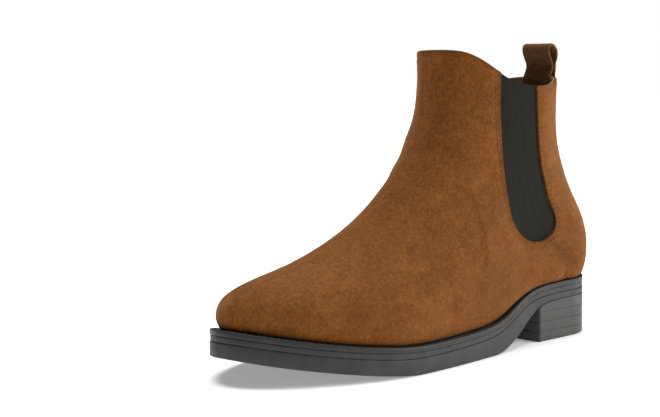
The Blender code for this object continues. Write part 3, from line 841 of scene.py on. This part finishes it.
def seam_stitches():
    """Double rows beside the gussets and side seams, and one row under the topline."""
    for side, word in SIDES:
        for part, sign in (("front", -1), ("back", 1)):
            lines = []
            for place in STITCH_AT:
                vs, us = EDGES[(side, part)]
                if part == "back":
                    keep = vs > GUSSET_FOOT + 0.0008
                    vs, us = vs[keep], us[keep]
                vs, us = shifted(vs, us, place * sign, side)
                inside = (vs < 0.985) & (vs > 0.012)
                lines.append(sewn_line(vs[inside], us[inside], 0.12))
            stitches(f"stitches_{part}_{word}", lines, tan_thread)
    us = np.linspace(-0.46, 0.46, 900)
    on_suede = np.zeros(len(us), bool)
    back, front = elastic_edges(1.0)
    for side in (1, -1):
        ends = row_at(1.0, side, [back - 4.5, front + 4.5])[0]
        back_u, front_u = 0.5 - np.abs(ends - 0.5)
        this_side = (us >= 0) == (side > 0)
        on_suede |= this_side & ((np.abs(us) < front_u) | (np.abs(us) > back_u))
    row = sewn_line(np.full(len(us), 1 - TOP_STITCH / SHAFT_HEIGHT), us, 0.1)
    stitches("topline_stitches", kept_parts(on_suede, *row), tan_thread)


def gusset_columns(vs, count):
    """Places across the elastic in mm from its middle line, that line, and its half-widths.

    Columns run straight up the panel and squeeze together where its edge cuts them off.
    """
    edges = np.array([elastic_edges(v, GUSSET_LAP) for v in vs])
    middles, halves = edges.mean(1), (edges[:, 1] - edges[:, 0]) / 2
    widest, half = halves.max(), halves[:, None]
    place = np.linspace(-widest, widest, count)
    squeezed = np.minimum(1.5, half / 2)
    spare = (np.abs(place) - half + squeezed) / (widest - half + squeezed)
    across = np.where(spare > 0, half - squeezed + squeezed * spare, np.abs(place))
    return across * np.sign(place), middles, halves


def build_gussets():
    """Ribbed elastic: cords run up the boot, and the panel draws in a little between its seams."""
    foot = GUSSET_FOOT - V_PER_MM * GUSSET_LAP
    vs = heights(foot, foot, 1.6)[1:]
    across, middles, halves = gusset_columns(vs, 187)
    rib = np.abs(np.cos(math.pi * across / RIB_PITCH)) ** 0.7
    open_half = np.maximum(halves - GUSSET_LAP, 1)[:, None]
    dip = GUSSET_DIP * np.clip(1 - (across / open_half) ** 2, 0, 1)
    for side, word in SIDES:
        us = np.array([row_at(v, side, m + row)[0] for v, m, row in zip(vs, middles, across)])
        grid = surface(vs, us)
        top = from_topline(grid[1])
        depth = ELASTIC[0] + RIB_DEPTH * (1 - rib) + dip
        depth += edge_round(top, 0.5) + groove(top, 3.2, 0.25, 0.8)
        weave = np.stack([across, grid[1][..., 2], 0 * across], -1).reshape(-1, 3)
        # Painted shade mask: 1 midway between two cords, 0 on top of a cord.
        looks = {"weave": weave, "rib_valley_shade": (1 - rib).ravel() ** 2}
        piece = panel(
            f"gusset_{word}_elastic", grid, (depth, ELASTIC[1] + dip), elastic,
            f"gusset_{word}", "elastic", looks,
        )


def lining_depths(from_top):
    """Depths of the lining's outer and inner face: it comes up against the suede at the top."""
    lift = 1.75 * (1 - ease(0, 16, from_top))
    return 3.35 - lift, 4.25 - lift


def build_linings():
    """Leather linings, brought up against the suede along the topline."""
    vs = heights(coarse=2.2)
    outer_half_u, inner_half_u = (back_grid(vs, side, 0.3, 18) for side in (1, -1))
    rear = np.concatenate([outer_half_u[:, ::-1], inner_half_u[:, 1:]], axis=1)
    for part, us in (("vamp", front_grid(vs, 0.3, 30)), ("quarter", rear)):
        grid = surface(vs, us)
        top = from_topline(grid[1])
        outer, inner = lining_depths(top)
        inner = inner - edge_round(top, 0.4) + 0.1 * waviness(grid[1], 12, 8)
        name = f"{part}_lining"
        panel(f"{name}_leather", grid, (inner, outer), lining_leather, name, "lining_leather")


# ---- sole and heel

# Where the welt's stitches start, the heel's breast and how far it is hollowed, and the
# thickness of its top piece and of one lift.
WELT_STITCH_FROM = 92
BREAST, HEEL_BREAST_HOLLOW = 74.0, 2.2
TOP_PIECE, LIFT = 6.0, 6.3

# The tread's grooves and its plain rim, then the heel pad and the sock liner over it.
TREAD_DEPTH, TREAD_PITCH, TREAD_RIM = 1.1, 6.6, 5.0
PAD_INSET, PAD_TO, PAD_BOTTOM, PAD_TOP, SOCK = 7.6, 78.0, 1.0, 3.6, 1.2


def over(rise):
    """A height above the feather line, as a function of s."""
    return lambda s: feather(s) + rise


def level(height):
    return lambda s: 0 * s + height


def tread(start, end):
    """Wavy cross grooves between two places along the sole: their depth at x, s."""
    def depth(x, s):
        phase = np.mod((s + 2.0 * np.sin(TAU * x / 24)) / TREAD_PITCH, 1)
        cut = ease(0.25, 0.38, np.abs(phase - 0.5))
        return TREAD_DEPTH * cut * ease(start, start + 2, s) * (1 - ease(end - 2, end, s))
    return depth


def layer(
    name, ring, top, bottom, material, replaced, radius, columns=25, pattern=None,
    slot="black_rubber",
):
    """A layer with rounded edges: ring(inset) outlines it; top and bottom are functions of s."""
    turns = np.linspace(0, math.pi / 2, 5)
    rings = [(ring(radius * (1 - math.sin(a))), radius * (1 - math.cos(a))) for a in turns]
    wall = np.array(
        [np.c_[line, top(line[:, 1]) - drop] for line, drop in rings]
        + [np.c_[line, bottom(line[:, 1]) + drop] for line, drop in rings[::-1]]
    )
    outline, count = rings[0][0], wall.shape[1]
    half = count // 2
    share = np.linspace(0, 1, columns)[None, :, None]
    left, right = outline[:half + 1, None], outline[-np.arange(half + 1), None]
    flat = left * (1 - share) + right * share
    base = bottom(flat[..., 1])
    if pattern:
        near = np.minimum(share, 1 - share)[..., 0] * np.linalg.norm(right - left, axis=-1)
        base = base + pattern(flat[..., 0], flat[..., 1]) * ease(TREAD_RIM - 1, TREAD_RIM, near)
    caps = [np.dstack([flat, z]).reshape(-1, 3) for z in (top(flat[..., 1]), base)]
    size, cap = wall.shape[0] * count, len(caps[0])
    faces = np.r_[
        grid_faces(wall.shape[0], count, wrap=True),
        grid_faces(half + 1, columns, size),
        grid_faces(half + 1, columns, size + cap)[:, ::-1]
    ]
    points = to_frame(np.r_[(wall.reshape(-1, 3), *caps)])
    piece = add_mesh(name, points, faces, material)
    weld(piece)
    return boot_piece(piece, replaced, slot)


def full_ring(extra, count):
    """Outline of the whole sole, as a function of an inset."""
    return lambda inset: plan(lambda s: extra(s) - inset, count)


def rear_ring(extra, cut, hollow, count=260):
    """Outline of the part behind s = cut, from the back round; its front edge is hollowed."""
    def ring(inset):
        outline = plan(lambda s: extra(s) - inset, 720)
        keep = outline[outline[:, 1] < cut - inset]
        arc = dense(keep[np.argsort(np.arctan2(keep[:, 0], cut / 2 - keep[:, 1]))], 0.8)
        share = np.linspace(0, 1, 26)[1:-1]
        front = arc[-1] + (arc[0] - arc[-1]) * share[:, None]
        front[:, 1] = cut - inset - hollow * np.sin(math.pi * share) ** 0.8
        loop = np.r_[arc, front]
        loop = np.roll(loop, -loop[:, 1].argmin(), axis=0)
        closed = np.r_[loop, loop[:1]]
        run = run_along(closed)
        return read_at(np.linspace(0, run[-1], count + 1)[:-1], run, closed)
    return ring


def build_bottom():
    """Welt, midsole, outsole and the heel's layers, all glued face to face."""
    def edge(gap, count=420):
        return full_ring(lambda s: margin(s) - gap, count)

    under_welt, under_midsole = over(-3.5), over(-6.75)
    layer("welt_strip", edge(0.05), over(-0.12), under_welt, welt_rubber, "welt", 0.75)
    layer("midsole_layer", edge(0.35), under_welt, under_midsole, rubber, "midsole", 0.4)
    layer(
        "outsole_layer", edge(0.05, 560), under_midsole, underside, rubber, "outsole", 0.9,
        101, tread(128, 284),
    )
    heel_ring = rear_ring(margin, BREAST, HEEL_BREAST_HOLLOW)
    layer(
        "heel_top_piece_rubber", heel_ring, level(TOP_PIECE), level(0.0), heel_rubber,
        "heel_top_piece", 0.4, 81, tread(6, 66),
    )
    tops = (underside, level(TOP_PIECE + 2 * LIFT), level(TOP_PIECE + LIFT))
    for number, high in enumerate(tops, 1):
        low = level(TOP_PIECE + (3 - number) * LIFT)
        name = f"heel_lift_{number}"
        layer(f"{name}_layer", heel_ring, high, low, heel_rubber, name, 0.3)


def build_welt_stitches():
    """Two rows on top of the welt, one down each side, which leave out the heel."""
    line = skin(0.0, np.linspace(0, 1, 1400))[:, :2]
    reach = margin(line[:, 1]) * 0.5 + 0.2
    place = line + outwards(np.gradient(line, axis=0)) * reach[:, None]
    points = np.c_[place, feather(place[:, 1]) - 0.1]
    normals = np.full(points.shape, (0.0, 0.0, 1.0))
    rows = kept_parts(line[:, 1] > WELT_STITCH_FROM, points, normals)
    stitches("welt_stitches", rows, welt_thread, "boot", 3.6, 2.7, 0.34, 0.02)


def build_footbed():
    """The leather sock liner, raised over a foam heel pad."""
    def bed(s):
        return feather(s) + 1.0 + 2.9 * (1 - ease(80, 104, s))

    layer(
        "sock_liner_leather", full_ring(level(-5.4), 260), lambda s: bed(s) + SOCK, bed,
        sock_leather, "sock_liner", 0.4, slot="lining_leather",
    )
    pad = layer(
        "heel_pad_foam", rear_ring(level(-PAD_INSET), PAD_TO, -1.5), over(PAD_TOP - 0.1),
        over(PAD_BOTTOM), plain_finish("pad_foam", (0.7, 0.68, 0.62), 0.95), "heel_pad", 1.2,
        slot="foam",
    )


# ---- pull loop

# Half-width, thickness and stitch margin of the strap, and how far its tabs go down.
STRAP_HALF, STRAP, STRAP_STITCH = 10.4, 1.7, 1.6
TAB_LENGTH = 22.0

# Shape of the arch above the fold, and how the tabs curve round the back of the boot.
LOOP_RISE, LOOP_FOOT, LOOP_LEAN = 12.8, 2.4, 2.6
LOOP_BULGE, LOOP_NECK = 3.6, 1.25
BACK_CURVE = 0.0196


def strap_line():
    """Centre line (s, z) of the strap, from the outer tab over the top to the inner tab."""
    fold = frame["joints"][0]["pos_m"]
    neck_s, pivot_z = MIDDLE_S - fold[1] / MM, fold[2] / MM
    seam_s, seam_z = back_seam(1.0)
    lower_s, lower_z = back_seam(0.85)
    drops = np.array([TAB_LENGTH, 16.5, 11, 6, 1.5])
    seam_line = seam_s - (lower_s - seam_s) / (lower_z - seam_z) * drops
    depths = -STAY_RISE - STRAP / 2, lining_depths(drops)[1] + STRAP / 2 + 0.1
    outer, inner = (np.c_[seam_line + depth, seam_z - drops] for depth in depths)
    angle = np.linspace(0.03, 0.97, 15) * math.pi
    width = LOOP_NECK * np.cos(angle) + LOOP_BULGE * np.sin(2 * angle)
    height = LOOP_FOOT + LOOP_RISE * np.sin(angle)
    arch = np.c_[neck_s - width + LOOP_LEAN * np.sin(angle) ** 2, pivot_z + height]
    knots = np.r_[outer, arch, inner[::-1]]
    run = run_along(knots)
    at = np.linspace(0, run[-1], 170)
    curves = [natural_cubic(np.c_[run, column]) for column in knots.T]
    return np.stack([curve(at) for curve in curves], -1), at


def strap_wrap(xs, z):
    """How far the strap's middle bends round the back of the boot, at this distance from it."""
    seam_z = back_seam(1.0)[1]
    return BACK_CURVE * xs ** 2 * (1 - ease(seam_z - 1, seam_z + 6, z))


def build_loop():
    """One strap for the arch and both tabs, and its stitches."""
    centres, run = strap_line()
    along = unit(np.gradient(centres, axis=0))
    aside = np.c_[along[:, 1], -along[:, 0]]
    ends = np.minimum(run, run[-1] - run)
    steps = EDGE_STEPS[EDGE_STEPS <= 5]
    inner = np.linspace(5.4 - STRAP_HALF, STRAP_HALF - 5.4, 9)
    xs = np.r_[steps - STRAP_HALF, inner, (STRAP_HALF - steps)[::-1]]
    grid_x = np.repeat(xs[None], len(run), axis=0)
    middle_s, middle_z = (column[:, None] + 0 * grid_x for column in centres.T)
    edge = np.minimum(STRAP_HALF - np.abs(grid_x), ends[:, None])
    half = STRAP / 2 - edge_round(edge, 0.6) - groove(edge, STRAP_STITCH, 0.16, 0.55)
    half += 0.07 * waviness(np.dstack([grid_x, middle_s, middle_z]), 4, 11)
    middle_s = middle_s + strap_wrap(grid_x, middle_z)
    out_s, out_z = (column[:, None] * half for column in aside.T)
    face = np.dstack([grid_x, middle_s + out_s, middle_z + out_z])
    back = np.dstack([grid_x, middle_s - out_s, middle_z - out_z])
    piece = sheet_solid("pull_loop_strap", face, back, dark_suede, {"seam": edge.ravel() + 0.6})
    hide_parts("pull_loop", "pull_loop_tab_outer", "pull_loop_tab_inner")
    bend_y, seam_z = (MIDDLE_S - centres[:, 0].mean()) * MM, back_seam(1.0)[1]
    start, end = (0, bend_y, (seam_z + 1.2) * MM), (0, bend_y, (seam_z + 6.5) * MM)
    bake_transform(piece)
    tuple(start)
    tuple(end)

    def row(x, middle, out):
        s, z = (middle + out * (STRAP / 2 - 0.14)).T
        s = s + strap_wrap(x, middle[..., 1])
        return np.c_[x + 0 * s, s, z + 0 * s], np.c_[0 * s, out + 0 * s[:, None]]

    reach = STRAP_HALF - STRAP_STITCH
    sewn = ends > STRAP_STITCH
    rows = [row(x, centres[sewn], aside[sewn] * sign) for sign in (-1, 1) for x in (-reach, reach)]
    for place, sign in ((STRAP_STITCH, -1), (run[-1] - STRAP_STITCH, 1)):
        middle, out = read_at(place, run, centres), read_at(place, run, aside) * sign
        rows.append(row(np.linspace(-reach, reach, 60), middle, out))
    thread = stitches(
        "pull_loop_stitches", rows, brown_thread, None, 2.7, 2.05, 0.25, 0.12
    )
    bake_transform(thread)
    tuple(start)
    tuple(end)


# ---- stage, light and camera

# Light from all round, the white of the backdrop, and the glow of the lit table.
FILL, WHITE, GLOW = 0.07, 1.0, 0.3
FLOOR_REACH = 14.0

SUN_POWER, SUN_SOFTNESS = 3.25, 50
BOX_POWER, BOX_SIZE = 22, 0.9
BOX_PLACE, BOX_AIM = (1.3, 1.25, 0.7), (0, 0.05, 0.09)


def build_stage():
    """A pale floor, and a studio that looks white but lights only a little."""
    shader = Shader("pale_floor")
    pale = shader.ramp(shader.noise(3, 2, 0.5), (0.3, 3 * (0.95,)), (0.7, 3 * (0.965,)))
    floor = shader.finish(
        [], Base_Color=pale, Roughness=0.8, Specular_IOR_Level=0.15,
        Emission_Color=(1, 1, 1, 1), Emission_Strength=GLOW,
    )
    corners = np.array([(-1, -1, 0), (1, -1, 0), (1, 1, 0), (-1, 1, 0)]) * FLOOR_REACH
    add_mesh("floor", corners, [(0, 1, 2, 3)], floor)
    world = bpy.data.worlds.new("studio")
    bpy.context.scene.world = world
    world.use_nodes = True
    nodes, link = world.node_tree.nodes, world.node_tree.links.new
    lit, seen = nodes["Background"], nodes.new("ShaderNodeBackground")
    for node, strength in ((lit, FILL), (seen, WHITE)):
        node.inputs["Color"].default_value = (1, 1, 1, 1)
        node.inputs["Strength"].default_value = strength
    choose = nodes.new("ShaderNodeMixShader")
    link(nodes.new("ShaderNodeLightPath").outputs["Is Camera Ray"], choose.inputs[0])
    link(lit.outputs[0], choose.inputs[1])
    link(seen.outputs[0], choose.inputs[2])
    link(choose.outputs[0], nodes["World Output"].inputs["Surface"])


def add_lamp(light, direction, place=(0, 0, 0)):
    lamp = add_object(light.name, light)
    lamp.location = place
    lamp.rotation_euler = Vector(direction).to_track_quat("-Z", "Y").to_euler()


def build_lights():
    """A broad sun from overhead, and a soft box behind the boot on the right."""
    sun = bpy.data.lights.new("overhead", "SUN")
    sun.energy, sun.angle = SUN_POWER, math.radians(SUN_SOFTNESS)
    add_lamp(sun, (0.18, -0.1, -1.0))
    box = bpy.data.lights.new("back_right", "AREA")
    box.shape = "RECTANGLE"
    box.size = box.size_y = BOX_SIZE
    box.energy = BOX_POWER
    add_lamp(box, Vector(BOX_AIM) - Vector(BOX_PLACE), BOX_PLACE)


# The photo's camera: degrees, metres and mm, and what it aims at beside the boot.
AZIMUTH, ELEVATION = 43.61, 4.2
DISTANCE, LENS = 0.899, 82.28
AIM_S, AIM_SIDE, AIM_HEIGHT = 150, -0.0509, 0.0961
AIM_SHIFT = -0.02576


def build_camera():
    a, e = math.radians(AZIMUTH), math.radians(ELEVATION)
    right = Vector((math.cos(a), math.sin(a), 0))
    back = Vector((math.sin(a) * math.cos(e), -math.cos(a) * math.cos(e), math.sin(e)))
    middle = Vector((-MIDDLE_X * MM, (MIDDLE_S - AIM_S) * MM, 0))
    target = middle + right * AIM_SIDE + Vector((0, 0, AIM_HEIGHT))
    data = bpy.data.cameras.new("camera")
    data.lens = LENS
    data.shift_y = AIM_SHIFT
    data.clip_start = 0.05
    camera = add_object("camera", data)
    camera.location = target + back * DISTANCE
    camera.rotation_mode = "QUATERNION"
    camera.rotation_quaternion = (-back).to_track_quat("-Z", "Y")
    bpy.context.scene.camera = camera


def finish_inner_nodes():
    """Pieces sealed inside the sole and between the layers keep their CAD shape."""
    board, steel = ((0.42, 0.31, 0.2), 0.8, False), ((0.5, 0.5, 0.52), 0.35, True)
    finishes = {node: board for node in ("insole_board", "toe_puff", "heel_counter")}
    finishes.update({"shank": steel, "cork_filler": ((0.3, 0.17, 0.08), 0.9, False)})
    finishes.update({f"heel_nail_{number}": steel for number in range(1, 6)})
    for node, (colour, rough, metal) in finishes.items():
        materials = frame["nodes"][node].data.materials
        materials.clear()
        materials.append(plain_finish(f"{node}_finish", colour, rough, metal))


build_suede()
build_stay()
seam_stitches()
build_gussets()
build_linings()
build_bottom()
build_welt_stitches()
build_footbed()
build_loop()
finish_inner_nodes()
build_stage()
build_lights()
build_camera()
bpy.context.scene.view_settings.view_transform = "Standard"
